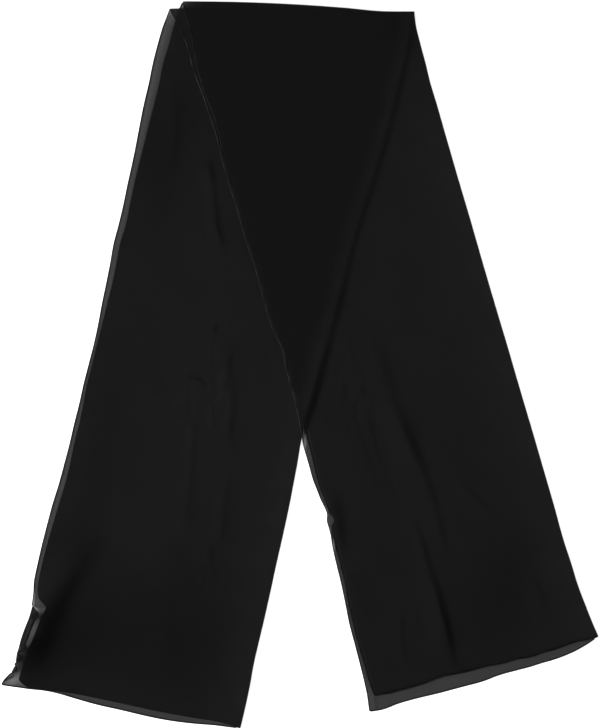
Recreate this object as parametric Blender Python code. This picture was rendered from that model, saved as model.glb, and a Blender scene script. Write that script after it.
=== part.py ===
"""A long oblong chiffon scarf with narrow rolled hems, laid flat on its back.

The one cut panel is folded in half lengthwise, then folded once across at the top, so that two doubled
tails spread downwards like an upside-down V. The front tail lies on the back tail.
Each stretch of the panel is a thin wall of cloth. Metres in the file, millimetres in the tables.
+Z is up, the cross fold is towards +Y, and the tails run towards -Y.
"""

import math

import bmesh
import bpy
from mathutils import Vector

MM = 0.001

# Driving sizes of the cloth, in millimetres
WALL = 1.0
GAP = 0.3
HEM_WIDTH = 2.2
HEM_RISE = 0.22
RIM = 0.35

# Two layers of one tail: their middle planes stand this far above and below the tail's own middle
HALF_PITCH = (WALL + GAP) / 2
FOLD_OUTER = HALF_PITCH + WALL / 2
TAIL_THICK = 2 * FOLD_OUTER

# Heights of the middle of a doubled tail: on the table, and lying on the other tail
LOW_MIDDLE = FOLD_OUTER
HIGH_MIDDLE = FOLD_OUTER + TAIL_THICK + GAP
CROSS_AXIS_Z = (LOW_MIDDLE + HIGH_MIDDLE) / 2
CROSS_RADIUS = (HIGH_MIDDLE - LOW_MIDDLE) / 2

# Where the front tail comes down off the edge of the back tail, measured from that edge
DROP_START = 7.0
DROP_END = 25.0

CROSS_STEPS = 6
LONG_FOLD_STEPS = 4
COLUMNS = 26

# Middle of the outline in the tables' coordinates: the part is moved so that this is its origin
TABLE_MIDDLE = (-0.24, -0.30)

# Front tail, hems on its open left side: level on the sheet, outer layer's hem x, inner layer's hem x
FRONT_HEMS = [
    (463.5, -149.1, -165.7),
    (453.0, -146.3, -165.0),
    (430.0, -139.8, -153.6),
    (395.0, -132.4, -140.4),
    (360.0, -125.3, -130.1),
    (300.0, -105.7, -109.5),
    (240.0, -91.0, -93.8),
    (180.0, -72.8, -75.7),
    (120.0, -53.3, -56.2),
    (60.0, -37.2, -40.1),
    (0.0, -16.2, -19.1),
    (-60.0, -0.3, -3.2),
    (-91.0, 8.0, 2.8),
    (-120.0, 16.7, 9.6),
    (-150.0, 24.1, 17.8),
    (-173.0, 32.2, 27.3),
    (-187.0, 37.4, 34.0),
    (-198.0, 44.6, 35.0),
    (-206.0, 41.3, 36.8),
    (-217.0, 42.6, 39.4),
    (-240.0, 48.2, 43.8),
    (-300.0, 61.5, 57.5),
    (-340.0, 70.6, 66.1),
    (-370.0, 78.8, 74.0),
    (-400.0, 87.8, 81.5),
    (-422.3, 95.4, 86.1),
]

# Front tail, long fold on its right side: level, x of the outermost edge
FRONT_FOLD = [
    (450.4, 145.8),
    (410.0, 153.4),
    (360.0, 166.2),
    (180.0, 218.8),
    (0.0, 271.5),
    (-240.0, 341.5),
    (-300.0, 361.9),
    (-347.0, 380.7),
]

# Back tail, hems on its open left side: level, outer layer's hem x, inner layer's hem x
BACK_HEMS = [
    (463.5, -149.1, -165.7),
    (453.0, -153.6, -166.3),
    (430.0, -161.0, -174.9),
    (395.0, -170.4, -184.4),
    (360.0, -178.6, -191.9),
    (300.0, -193.5, -204.9),
    (240.0, -208.5, -217.2),
    (180.0, -221.0, -230.4),
    (120.0, -236.0, -243.4),
    (60.0, -249.7, -255.4),
    (0.0, -264.4, -269.2),
    (-60.0, -278.0, -283.6),
    (-120.0, -291.2, -298.2),
    (-180.0, -307.2, -315.3),
    (-240.0, -324.7, -331.0),
    (-281.0, -333.6, -339.3),
    (-292.0, -333.8, -339.8),
    (-303.0, -328.6, -341.2),
    (-310.7, -323.2, -342.4),
    (-320.0, -327.9, -345.1),
    (-334.7, -334.0, -350.7),
    (-351.0, -340.4, -356.4),
    (-368.0, -347.4, -361.6),
    (-384.0, -352.8, -364.6),
    (-393.0, -355.4, -369.2),
    (-402.7, -358.5, -377.0),
]

# Back tail, long fold on its right side: level, x of the outermost edge
BACK_FOLD = [
    (450.4, 145.8),
    (410.0, 137.7),
    (300.0, 111.2),
    (180.0, 74.3),
    (60.0, 42.6),
    (-60.0, 10.1),
    (-120.0, -2.1),
    (-180.0, -13.4),
    (-300.0, -39.8),
    (-442.0, -70.9),
    (-463.8, -75.8),
]

# Levels where the cloth is given a section across, from the cross fold down to the end hem
FRONT_LEVELS = [
    430, 395, 360, 330, 300, 270, 240, 210, 180, 150, 120, 90, 60, 30, 0, -30, -60, -91,
    -120, -150, -173, -187, -198, -206, -217, -240, -270, -300, -320, -340, -370, -400, -422.3,
]
BACK_LEVELS = [
    430, 395, 360, 330, 300, 270, 240, 210, 180, 150, 120, 90, 60, 30, 0, -30, -60, -90,
    -120, -150, -180, -210, -240, -262, -281, -292, -303, -310.7,
    -320, -335, -351, -368, -384, -393, -402.7,
]

# Corners of the end hems: inner layer's left corner, and where both layers meet at the long fold
FRONT_END = {"outer_left": (95.4, -422.3), "inner_left": (89.0, -442.7), "fold": (380.7, -347.0)}
BACK_END = {"outer_left": (-358.5, -402.7), "inner_left": (-381.2, -408.6), "fold": (-75.8, -463.8)}

# How far each end hem sags below the straight line between its corners: share across, outer, inner
FRONT_END_SAG = [
    (0.0, 0.0, 0.0),
    (0.2, 1.2, 2.5),
    (0.4, 0.5, 7.0),
    (0.6, 2.1, 7.7),
    (0.8, 1.7, 10.4),
    (0.9, 0.4, 8.6),
    (1.0, 0.0, 0.0),
]
BACK_END_SAG = [
    (0.0, 0.0, 0.0),
    (0.08, 3.6, -0.9),
    (0.2, 1.8, -3.0),
    (0.4, 1.0, 2.8),
    (0.6, 1.0, 5.8),
    (0.8, -0.8, 4.7),
    (0.9, -1.9, 1.7),
    (1.0, 0.0, 0.0),
]

# How far each cross fold bows up above the straight line between its corners: share across, outer, inner
TOP_BOW = [
    (0.0, 0.0, 0.0),
    (0.22, 2.0, 0.9),
    (0.38, 2.5, 1.9),
    (0.54, 2.1, 2.6),
    (0.70, 0.8, 1.8),
    (0.85, -1.4, -1.6),
    (1.0, 0.0, 0.0),
]

# Corners of the cross folds at the top: left and right ends of the outermost edges
TOP_OUTER_LEFT = (-149.1, 463.5)
TOP_INNER_LEFT = (-165.7, 454.3)
TOP_RIGHT = (145.8, 450.4)

# Soft creases: start x, start y, end x, end y, bow to the side, height, half width
FRONT_CREASES = [
    (94.0, 28.0, 193.0, -243.0, 7.0, 3.0, 20.0),
    (143.0, -190.0, 199.0, -386.0, 6.0, 2.8, 18.0),
    (207.0, -150.0, 246.0, -182.0, -3.0, 1.4, 13.0),
    (214.0, -236.0, 256.0, -280.0, -8.0, 1.5, 14.0),
    (46.0, -176.0, 62.0, -226.0, 0.0, 1.6, 14.0),
]
BACK_CREASES = [
    (-113.0, 274.0, -96.0, 140.0, -5.0, 1.8, 13.0),
    (-246.0, -228.0, -338.0, -388.0, 5.0, 3.4, 22.0),
    (-152.0, 340.0, -167.0, 230.0, 2.0, 1.2, 14.0),
    (-150.0, 60.0, -128.0, -90.0, 6.0, 1.0, 18.0),
    (-210.0, -60.0, -190.0, -230.0, -8.0, 1.2, 20.0),
]

CLOTH_COLOUR = (0.011, 0.011, 0.012, 1.0)


def clear_scene():
    """Take away whatever lies in the scene."""
    for thing in list(bpy.data.objects):
        bpy.data.objects.remove(thing, do_unlink=True)


def look_up(table, key, column):
    """Read one column of a table between its rows, in a straight line, whichever way its keys run."""
    rows = sorted(table, key=lambda row: row[0])
    if key <= rows[0][0]:
        return rows[0][column]
    for low, high in zip(rows, rows[1:]):
        if key <= high[0]:
            share = (key - low[0]) / (high[0] - low[0])
            return low[column] + share * (high[column] - low[column])
    return rows[-1][column]


def ease(start, end, value):
    """Rise smoothly from nought at the start to one at the end."""
    share = min(1.0, max(0.0, (value - start) / (end - start)))
    return share * share * (3 - 2 * share)


def crease_height(creases, x, y):
    """Height of the soft ridges at a place on the table."""
    total = 0.0
    for x0, y0, x1, y1, bow, height, half_width in creases:
        run = math.hypot(x1 - x0, y1 - y0)
        along_x, along_y = (x1 - x0) / run, (y1 - y0) / run
        along = ((x - x0) * along_x + (y - y0) * along_y) / run
        if not 0 < along < 1:
            continue
        across = (x - x0) * along_y - (y - y0) * along_x
        across -= bow * 4 * along * (1 - along)
        reach = abs(across) / half_width
        if reach >= 1:
            continue
        ends = ease(0.0, 0.22, along) * ease(0.0, 0.22, 1 - along)
        total += height * ends * (1 - reach * reach) ** 2
    return total


def front_middle(x, y):
    """Height of the middle of the front tail: high on the back tail, low beside it, with its creases."""
    beyond = x - look_up(BACK_FOLD, y, 1)
    raised = 1.0 - ease(DROP_START, DROP_END, beyond)
    clear_of_top = ease(0.0, 60.0, 430.0 - y)
    return (LOW_MIDDLE + (HIGH_MIDDLE - LOW_MIDDLE) * raised
            + clear_of_top * crease_height(FRONT_CREASES, x, y))


def back_relief(x, y):
    """Height of the back tail's creases, fading out before the front tail covers them."""
    uncovered = look_up(FRONT_HEMS, y, 2) - x
    if y < -90.0:
        uncovered = 30.0
    from_fold = look_up(BACK_FOLD, y, 1) - x
    return (crease_height(BACK_CREASES, x, y) * ease(10.0, 26.0, uncovered)
            * ease(2.0, 20.0, from_fold))


class Tail:
    """One doubled tail: its plan between the hem of the outer layer and the long fold."""

    def __init__(self, hems, fold, levels, end, sag):
        self.hems = hems
        self.fold = fold
        self.end = end
        self.sag = sag
        self.levels = levels
        self.top = TOP_OUTER_LEFT[1] - FOLD_OUTER - CROSS_RADIUS
        self.right_top = TOP_RIGHT[1] - FOLD_OUTER - CROSS_RADIUS

    def share_down(self, level):
        """How far down the tail a level on the left hem is, from nought to one."""
        return (self.top - level) / (self.top - self.end["outer_left"][1])

    def fold_point(self, level):
        """Middle of the long fold's bend opposite a level on the left hem."""
        share = self.share_down(level)
        y = self.right_top + (self.end["fold"][1] - self.right_top) * share
        return look_up(self.fold, y, 1) - FOLD_OUTER, y

    def point(self, level, share):
        """Plan position on the section at a level, a share of the way from the outer hem to the fold."""
        down = self.share_down(level)
        left_x, left_y = look_up(self.hems, level, 1), level
        right_x, right_y = self.fold_point(level)
        x = left_x + (right_x - left_x) * share
        y = left_y + (right_y - left_y) * share
        y += look_up(TOP_BOW, share, 1) * max(0.0, 1 - down * 4) ** 2
        y -= look_up(self.sag, share, 1) * max(0.0, down * 3 - 2) ** 2
        return x, y

    def inner_hem(self, level):
        """Plan position of the inner layer's hem on the section at a level."""
        return look_up(self.hems, level, 2), level

    def inner_end(self, share):
        """Plan position on the inner layer's end hem, which sticks out past the outer layer's."""
        x0, y0 = self.end["inner_left"]
        x1, y1 = self.end["fold"]
        x1 -= FOLD_OUTER
        return x0 + (x1 - x0) * share, y0 + (y1 - y0) * share - look_up(self.sag, share, 2)


def spread(start, end, steps):
    """Even shares from start to end."""
    return [start + (end - start) * i / steps for i in range(steps + 1)]


def inner_top(share):
    """Axis of the inner layer's cross fold at a share across, from its hem side to the long fold."""
    left = TOP_INNER_LEFT[1] - FOLD_OUTER
    right = TOP_RIGHT[1] - FOLD_OUTER - CROSS_RADIUS
    return left + (right - left) * share + look_up(TOP_BOW, share, 2)


def outer_shares(width):
    """Shares across the outer layer: its rolled hem in two narrow cells, then the even columns."""
    narrow = [RIM / width, (HEM_WIDTH * 0.5) / width, HEM_WIDTH / width]
    return narrow + spread(HEM_WIDTH / width, 1.0, COLUMNS)[1:]


def hem_rise(index):
    """The rolled hem stands a little proud of the cloth on its middle line."""
    return HEM_RISE if index == 1 else 0.0


def pair(x, y, middle, side_height, up_extra=0.0):
    """Top and bottom points of the wall where its middle plane is at a height."""
    z = middle + side_height
    return Vector((x, y, z + WALL / 2 + up_extra)), Vector((x, y, z - WALL / 2))


def bend_pairs(x, y, middle):
    """Outer and inner points of the wall around a long fold, from the upper layer to the lower one."""
    pairs = []
    for step in range(1, LONG_FOLD_STEPS + 1):
        turn = math.pi * step / LONG_FOLD_STEPS
        out = FOLD_OUTER
        low = HALF_PITCH - WALL / 2
        pairs.append((Vector((x + out * math.sin(turn), y, middle + out * math.cos(turn))),
                      Vector((x + low * math.sin(turn), y, middle + low * math.cos(turn)))))
    return pairs


def wall_solid(name, rows, rounded):
    """Close a grid of wall points into one solid; rounded sides get the curve of a hem.

    rows holds (face point, back point) pairs; rounded names the sides first, last, left and right.
    """
    mesh = bmesh.new()
    count_rows, count_cols = len(rows), len(rows[0])
    middle = Vector((TABLE_MIDDLE[0], TABLE_MIDDLE[1], 0.0))
    face = [[mesh.verts.new((p[0] - middle) * MM) for p in row] for row in rows]
    back = [[mesh.verts.new((p[1] - middle) * MM) for p in row] for row in rows]
    for i in range(count_rows - 1):
        for j in range(count_cols - 1):
            a, b, c, d = face[i][j], face[i][j + 1], face[i + 1][j + 1], face[i + 1][j]
            mesh.faces.new((a, b, c))
            mesh.faces.new((a, c, d))
            a, b, c, d = back[i][j], back[i][j + 1], back[i + 1][j + 1], back[i + 1][j]
            mesh.faces.new((a, c, b))
            mesh.faces.new((a, d, c))

    ring = [(0, j) for j in range(count_cols)]
    ring += [(i, count_cols - 1) for i in range(1, count_rows)]
    ring += [(count_rows - 1, j) for j in range(count_cols - 2, -1, -1)]
    ring += [(i, 0) for i in range(count_rows - 2, 0, -1)]

    rim = {}
    for i, j in ring:
        push = Vector((0.0, 0.0, 0.0))
        centre = (rows[i][j][0] + rows[i][j][1]) / 2
        if "first" in rounded and i == 0:
            push += (centre - (rows[1][j][0] + rows[1][j][1]) / 2).normalized()
        if "last" in rounded and i == count_rows - 1:
            push += (centre - (rows[-2][j][0] + rows[-2][j][1]) / 2).normalized()
        if "left" in rounded and j == 0:
            push += (centre - (rows[i][1][0] + rows[i][1][1]) / 2).normalized()
        if "right" in rounded and j == count_cols - 1:
            push += (centre - (rows[i][-2][0] + rows[i][-2][1]) / 2).normalized()
        rim[(i, j)] = mesh.verts.new((centre + push * RIM - middle) * MM)

    for here, there in zip(ring, ring[1:] + ring[:1]):
        upper_here, upper_there = face[here[0]][here[1]], face[there[0]][there[1]]
        lower_here, lower_there = back[here[0]][here[1]], back[there[0]][there[1]]
        mesh.faces.new((upper_there, upper_here, rim[here], rim[there]))
        mesh.faces.new((rim[there], rim[here], lower_here, lower_there))

    bmesh.ops.triangulate(mesh, faces=[f for f in mesh.faces if len(f.verts) > 3])
    bmesh.ops.recalc_face_normals(mesh, faces=mesh.faces)
    if mesh.calc_volume(signed=True) < 0:
        bmesh.ops.reverse_faces(mesh, faces=mesh.faces)
    data = bpy.data.meshes.new(name)
    mesh.to_mesh(data)
    mesh.free()
    return bpy.data.objects.new(name, data)


def outer_row(tail, level, middle_at):
    """One section of an upper, outer layer: from its hem to the edge of the long fold."""
    left_x, left_y = tail.point(level, 0.0)
    right_x, right_y = tail.point(level, 1.0)
    width = math.hypot(right_x - left_x, right_y - left_y)
    row = []
    for index, share in enumerate(outer_shares(width)):
        x, y = tail.point(level, share)
        row.append(pair(x, y, middle_at(x, y), HALF_PITCH, hem_rise(index)))
    return row


def cross_fold_rows(first_row_xy, radius, sections):
    """Sections around the cross fold, from the upper side over the top edge to the under side."""
    rows = []
    for step in range(1, CROSS_STEPS + 1):
        turn = math.pi * step / CROSS_STEPS
        row = []
        for (x, y), (outer, inner) in zip(first_row_xy, sections):
            row.append(tuple(
                Vector((x + side[0], y + (radius + side[1]) * math.sin(turn),
                        CROSS_AXIS_Z + (radius + side[1]) * math.cos(turn)))
                for side in (outer, inner)))
        rows.append(row)
    return rows


def bend_sections():
    """Section of the long fold as offsets out and up from its middle, outer and inner side of the wall."""
    sections = []
    for step in range(1, LONG_FOLD_STEPS + 1):
        turn = math.pi * step / LONG_FOLD_STEPS
        low = HALF_PITCH - WALL / 2
        sections.append(((FOLD_OUTER * math.sin(turn), FOLD_OUTER * math.cos(turn)),
                         (low * math.sin(turn), low * math.cos(turn))))
    return sections


def front_upper(tail):
    """Outer layer of the front tail with its long fold, carried over the cross fold."""
    rows = []
    for level in reversed([tail.top] + tail.levels):
        row = outer_row(tail, level, front_middle)
        bend_x, bend_y = tail.fold_point(level)
        row += bend_pairs(bend_x, bend_y, front_middle(bend_x, bend_y))
        rows.append(row)

    flat = ((0.0, HALF_PITCH + WALL / 2), (0.0, HALF_PITCH - WALL / 2))
    top_row = [p[0] for p in outer_row(tail, tail.top, front_middle)]
    bend_x, bend_y = tail.fold_point(tail.top)
    xy = [(p.x, p.y) for p in top_row] + [(bend_x, bend_y)] * LONG_FOLD_STEPS
    sections = [flat] * len(top_row) + bend_sections()
    rows += cross_fold_rows(xy, CROSS_RADIUS, sections)
    return wall_solid("front_tail_upper_layer", rows, ("first", "left"))


def inner_row_plan(tail, level):
    """Plan of one section of an inner layer: rolled hem, margin, then the outer layer's own columns."""
    hem_x, hem_y = tail.inner_hem(level)
    left_x, left_y = tail.point(level, 0.0)
    right_x, right_y = tail.point(level, 1.0)
    width = math.hypot(right_x - left_x, right_y - left_y)
    margin = left_x - hem_x
    plan = [(hem_x + RIM, hem_y), (hem_x + HEM_WIDTH * 0.5, hem_y), (hem_x + HEM_WIDTH, hem_y)]
    plan.append((hem_x + max(HEM_WIDTH + 0.3, margin), hem_y))
    shares = spread(HEM_WIDTH / width, 1.0 - GAP / width, COLUMNS)
    plan += [tail.point(level, share) for share in shares]
    return plan, margin


def inner_rows(tail, middle_at, sign, dropped):
    """All the sections of an inner layer from its cross fold's axis to its end hem."""
    rows = []
    side = -sign * HALF_PITCH

    top_plan, top_margin = inner_row_plan(tail, tail.levels[0])
    hem_x, fold_x = TOP_INNER_LEFT[0], tail.fold_point(tail.top)[0] - GAP
    reach = top_plan[-1][0] - top_plan[0][0]
    first = []
    for index, (x, y) in enumerate(top_plan):
        share = (x - top_plan[0][0]) / reach
        new_x = hem_x + RIM + (fold_x - hem_x - RIM) * share
        if index < 3:
            new_x = hem_x + (RIM, HEM_WIDTH * 0.5, HEM_WIDTH)[index]
        first.append((new_x, inner_top((new_x - hem_x) / (fold_x - hem_x))))
    shift = -GAP if dropped else 0.0
    row = []
    for index, (x, y) in enumerate(first):
        row.append(pair(x, y + shift, middle_at(x, y), side, hem_rise(index) if index < 3 else 0.0))
    rows.append(row)

    for level in tail.levels:
        plan, margin = inner_row_plan(tail, level)
        row = []
        for index, (x, y) in enumerate(plan):
            lowered = 2 * HALF_PITCH if dropped and index < 3 else 0.0
            lowered *= ease(1.5, 5.0, margin)
            relief = back_relief(x, y) if dropped and index > 3 else 0.0
            row.append(pair(x, y, middle_at(x, y) + relief - lowered, side,
                            hem_rise(index) if index < 3 else 0.0))
        rows.append(row)

    last_plan, last_margin = inner_row_plan(tail, tail.levels[-1])
    reach = last_plan[-1][0] - last_plan[0][0]
    for part, inset in ((0.6, 0.0), (1.0, HEM_WIDTH), (1.0, HEM_WIDTH * 0.5), (1.0, RIM)):
        row = []
        for index, (x, y) in enumerate(last_plan):
            share = (x - last_plan[0][0]) / reach
            end_x, end_y = tail.inner_end(share)
            if index < 3:
                end_x = tail.end["inner_left"][0] + (RIM, HEM_WIDTH * 0.5, HEM_WIDTH)[index]
            span = math.hypot(end_x - x, end_y - y)
            if part == 1.0:
                part_here = max(0.65, 1.0 - inset / span)
                if inset < HEM_WIDTH:
                    part_here = max(0.75 if inset > RIM else 0.9, 1.0 - inset / span)
            else:
                part_here = part
            here_x, here_y = x + (end_x - x) * part_here, y + (end_y - y) * part_here
            lowered = 2 * HALF_PITCH * ease(3.0, 6.0, span) if dropped else 0.0
            if dropped and index < 3:
                lowered = 2 * HALF_PITCH
            rise = HEM_RISE if inset == HEM_WIDTH * 0.5 or index == 1 else 0.0
            row.append(pair(here_x, here_y, middle_at(here_x, here_y) - lowered, side, rise))
        rows.append(row)
    return rows, first


def front_lower(tail):
    """Inner layer of the front tail, carried over its own, nested cross fold."""
    rows, first = inner_rows(tail, front_middle, 1, False)
    rows.reverse()
    sections = [((0.0, -HALF_PITCH + WALL / 2), (0.0, -HALF_PITCH - WALL / 2))] * len(first)
    rows += cross_fold_rows(first, CROSS_RADIUS, sections)
    return wall_solid("front_tail_lower_layer", rows, ("first", "left"))


def back_upper(tail):
    """Inner layer of the back tail, which is its upper one, with the long fold on its right."""
    rows, first = inner_rows(tail, lambda x, y: LOW_MIDDLE, -1, True)
    levels = [tail.top] + tail.levels
    for index, row in enumerate(rows):
        level = levels[min(index, len(levels) - 1)]
        bend_x, bend_y = tail.fold_point(level)
        edge = row[-1][0]
        if index == 0:
            bend_y -= GAP
        if index >= len(levels):
            bend_x, bend_y = edge.x + GAP, edge.y
        row.append(pair(bend_x, bend_y, LOW_MIDDLE, HALF_PITCH))
        row += bend_pairs(bend_x, bend_y, LOW_MIDDLE)
    rows.reverse()
    return wall_solid("back_tail_upper_layer", rows, ("first", "left"))


def back_lower(tail):
    """Outer layer of the back tail, which is its lower one and lies flat on the table."""
    rows = []
    for level in [tail.top] + tail.levels:
        left_x, left_y = tail.point(level, 0.0)
        right_x, right_y = tail.point(level, 1.0)
        width = math.hypot(right_x - left_x, right_y - left_y)
        shift = -GAP if level == tail.top else 0.0
        row = []
        for share in spread(RIM / width, 1.0 - GAP / width, COLUMNS):
            x, y = tail.point(level, share)
            row.append(pair(x, y + shift, LOW_MIDDLE, -HALF_PITCH))
        rows.append(row)
    rows.reverse()
    return wall_solid("back_tail_lower_layer", rows, ("first", "left"))


def cloth_material(name):
    """Matt black chiffon."""
    material = bpy.data.materials.new(name)
    material.use_nodes = True
    shader = material.node_tree.nodes["Principled BSDF"]
    shader.inputs["Base Color"].default_value = CLOTH_COLOUR
    shader.inputs["Roughness"].default_value = 0.72
    shader.inputs["Metallic"].default_value = 0.0
    return material


def build():
    """Lay out the four stretches of the one folded panel."""
    clear_scene()
    collection = bpy.data.collections.new("folded_chiffon_scarf")
    bpy.context.scene.collection.children.link(collection)
    front = Tail(FRONT_HEMS, FRONT_FOLD, FRONT_LEVELS, FRONT_END, FRONT_END_SAG)
    back = Tail(BACK_HEMS, BACK_FOLD, BACK_LEVELS, BACK_END, BACK_END_SAG)
    for piece in (front_upper(front), front_lower(front), back_upper(back), back_lower(back)):
        piece.data.materials.append(cloth_material(piece.name + "_chiffon"))
        collection.objects.link(piece)


build()
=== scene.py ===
# %% [markdown]
# # A black silk chiffon scarf, folded and laid flat
#
# The real thing is one oblong panel of sheer black chiffon, 600 by 1800 mm, with a narrow rolled hem on all
# four edges. It was folded in half lengthwise, then folded once across, and laid down so that its two
# doubled tails spread into an upside-down V. This file dresses the four stretches of that panel: a fine
# sheet for each, its rolled hem, and a cloth that light passes through.

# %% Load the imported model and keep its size
import math

import bmesh
import bpy
import numpy as np
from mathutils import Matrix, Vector


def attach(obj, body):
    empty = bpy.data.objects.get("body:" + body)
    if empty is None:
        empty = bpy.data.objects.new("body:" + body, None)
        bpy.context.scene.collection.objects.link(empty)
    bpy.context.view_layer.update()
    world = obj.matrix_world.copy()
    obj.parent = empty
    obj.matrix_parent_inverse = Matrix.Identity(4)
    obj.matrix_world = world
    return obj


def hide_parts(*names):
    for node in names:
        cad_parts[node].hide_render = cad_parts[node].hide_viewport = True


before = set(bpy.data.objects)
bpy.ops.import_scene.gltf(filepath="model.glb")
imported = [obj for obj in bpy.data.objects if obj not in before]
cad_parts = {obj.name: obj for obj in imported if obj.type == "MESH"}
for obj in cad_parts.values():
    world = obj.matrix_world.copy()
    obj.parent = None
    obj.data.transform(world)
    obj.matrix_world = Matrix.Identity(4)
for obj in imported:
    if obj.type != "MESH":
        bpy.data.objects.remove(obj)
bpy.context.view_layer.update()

MM = 0.001
print("nodes:", sorted(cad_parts))

# %% [markdown]
# ## The camera
#
# The photograph looks straight down at the scarf. A camera a few metres up with a long lens gives that flat,
# undistorted view. One photographed pixel is 1.2766 mm on the table, so the frame of 600 by 728 pixels is
# 766 by 929 mm, and the lens follows from the distance. The scarf isn't quite in the middle of the picture,
# so the camera stands half a millimetre off the middle of the model.

# %% Camera
FRAME_PIXELS = (600, 728)
MM_PER_PIXEL = 1.2766
CAMERA_HEIGHT = 3.2
CAMERA_OFF_MIDDLE = (-0.00014, 0.00056)
SENSOR_HEIGHT = 24.0

lens_camera = bpy.data.cameras.new("overhead_camera")
lens_camera.sensor_fit = "VERTICAL"
lens_camera.sensor_height = SENSOR_HEIGHT
lens_camera.lens = SENSOR_HEIGHT * CAMERA_HEIGHT / (FRAME_PIXELS[1] * MM_PER_PIXEL * MM)
overhead = bpy.data.objects.new("overhead_camera", lens_camera)
overhead.location = (*CAMERA_OFF_MIDDLE, CAMERA_HEIGHT)
bpy.context.scene.collection.objects.link(overhead)
bpy.context.scene.camera = overhead
print("lens in mm:", round(lens_camera.lens, 2))

# %% [markdown]
# ## Where the edges lie
#
# The outline is what makes this scarf that scarf, so it is read off the photograph. Each row gives a level on
# the sheet and, at that level, where the two hems lie: first the hem of the panel's outer half, then the hem
# of its inner half, which sticks out a little further and shows as a sheer grey margin. All in millimetres.

# %% Edge tables
FRONT_HEMS = [
    (463.5, -149.1, -165.7), (453.0, -147.1, -164.4), (440.0, -143.0, -157.5), (425.0, -139.0, -151.5),
    (404.0, -135.0, -143.0), (381.0, -131.0, -137.4), (360.0, -125.6, -130.1), (340.0, -119.0, -122.4),
    (325.0, -112.6, -117.6), (300.0, -104.0, -109.0), (272.0, -98.9, -101.5), (240.0, -91.0, -93.6),
    (198.0, -77.5, -80.0), (160.0, -67.0, -69.4), (131.0, -56.6, -59.2), (107.0, -49.8, -52.4),
    (60.0, -37.2, -39.8), (39.0, -29.6, -32.2), (22.0, -20.8, -23.2), (-4.0, -15.6, -18.0),
    (-30.0, -8.0, -10.4), (-56.0, -1.4, -4.0), (-81.0, 5.0, 1.0), (-103.0, 11.8, 4.8),
    (-128.0, 18.2, 11.8), (-150.0, 23.4, 18.2), (-161.0, 27.2, 22.6), (-173.0, 32.2, 27.3),
    (-182.0, 34.6, 31.8), (-189.0, 37.6, 34.8), (-194.0, 42.0, 35.4), (-198.3, 44.7, 34.8),
    (-202.0, 43.6, 35.4), (-206.0, 41.1, 36.6), (-216.0, 41.2, 39.4), (-230.0, 45.2, 41.6),
    (-255.0, 51.8, 47.0), (-281.0, 58.2, 53.4), (-306.0, 62.4, 58.6), (-332.0, 68.4, 63.8),
    (-357.0, 74.8, 70.4), (-383.0, 82.4, 77.2), (-404.0, 88.2, 82.4), (-422.3, 95.4, 86.4),
]
BACK_HEMS = [
    (463.5, -149.1, -165.7), (453.0, -153.6, -166.6), (442.0, -157.0, -170.6), (434.0, -159.6, -173.4),
    (409.0, -166.3, -180.8), (383.0, -174.0, -187.4), (358.0, -179.1, -192.4), (332.0, -185.5, -198.6),
    (307.0, -191.9, -203.6), (281.0, -198.2, -208.5), (256.0, -204.6, -213.6), (230.0, -210.9, -219.4),
    (205.0, -216.1, -224.5), (179.0, -221.2, -230.6), (154.0, -228.8, -237.2), (128.0, -233.9, -241.8),
    (102.0, -239.0, -247.0), (77.0, -245.4, -252.2), (51.0, -251.8, -257.0), (26.0, -258.2, -262.4),
    (0.0, -264.6, -269.1), (-25.0, -271.0, -275.5), (-51.0, -276.1, -281.3), (-76.0, -281.2, -287.6),
    (-102.0, -287.6, -293.6), (-127.0, -292.7, -300.2), (-153.0, -299.1, -307.2), (-178.0, -306.8, -315.0),
    (-204.0, -314.4, -322.0), (-230.0, -322.1, -328.6), (-255.0, -328.5, -334.4), (-281.0, -333.6, -339.3),
    (-291.0, -334.2, -339.6), (-299.0, -332.4, -340.5), (-306.0, -326.4, -341.6), (-309.4, -323.4, -342.2),
    (-311.0, -323.2, -342.5), (-315.0, -325.4, -343.6), (-322.7, -329.4, -345.9), (-334.7, -334.0, -350.7),
    (-351.0, -340.4, -356.4), (-363.6, -346.0, -359.9), (-368.0, -347.4, -361.6), (-376.3, -350.2, -362.8),
    (-384.0, -352.8, -364.6), (-390.0, -354.6, -367.2), (-396.4, -356.4, -371.2), (-402.7, -358.5, -377.0),
]
FRONT_FOLD = [
    (450.4, 145.8), (434.0, 147.7), (409.0, 153.7), (383.0, 160.6), (358.0, 166.7), (332.0, 174.6),
    (307.0, 181.7), (281.0, 189.2), (230.0, 204.0), (179.0, 219.1), (128.0, 233.7), (77.0, 248.7),
    (26.0, 264.0), (-25.0, 278.8), (-76.0, 293.9), (-127.0, 308.8), (-178.0, 323.6), (-230.0, 338.2),
    (-255.0, 346.5), (-281.0, 354.4), (-306.0, 363.8), (-332.0, 374.2), (-347.0, 380.7),
]
BACK_FOLD = [
    (450.4, 145.8), (409.0, 137.5), (342.0, 122.2), (278.0, 105.6), (186.0, 76.2), (128.0, 59.6),
    (68.0, 44.9), (0.0, 25.1), (-58.0, 10.5), (-91.0, 2.9), (-102.0, 0.8), (-127.0, -3.3),
    (-153.0, -8.2), (-178.0, -13.0), (-204.0, -18.5), (-230.0, -24.3), (-255.0, -30.0), (-281.0, -35.6),
    (-306.0, -41.1), (-332.0, -47.0), (-357.0, -53.0), (-383.0, -58.9), (-408.0, -63.4), (-434.0, -68.8),
    (-463.8, -75.8),
]
print("rows:", len(FRONT_HEMS), len(BACK_HEMS), len(FRONT_FOLD), len(BACK_FOLD))

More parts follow.
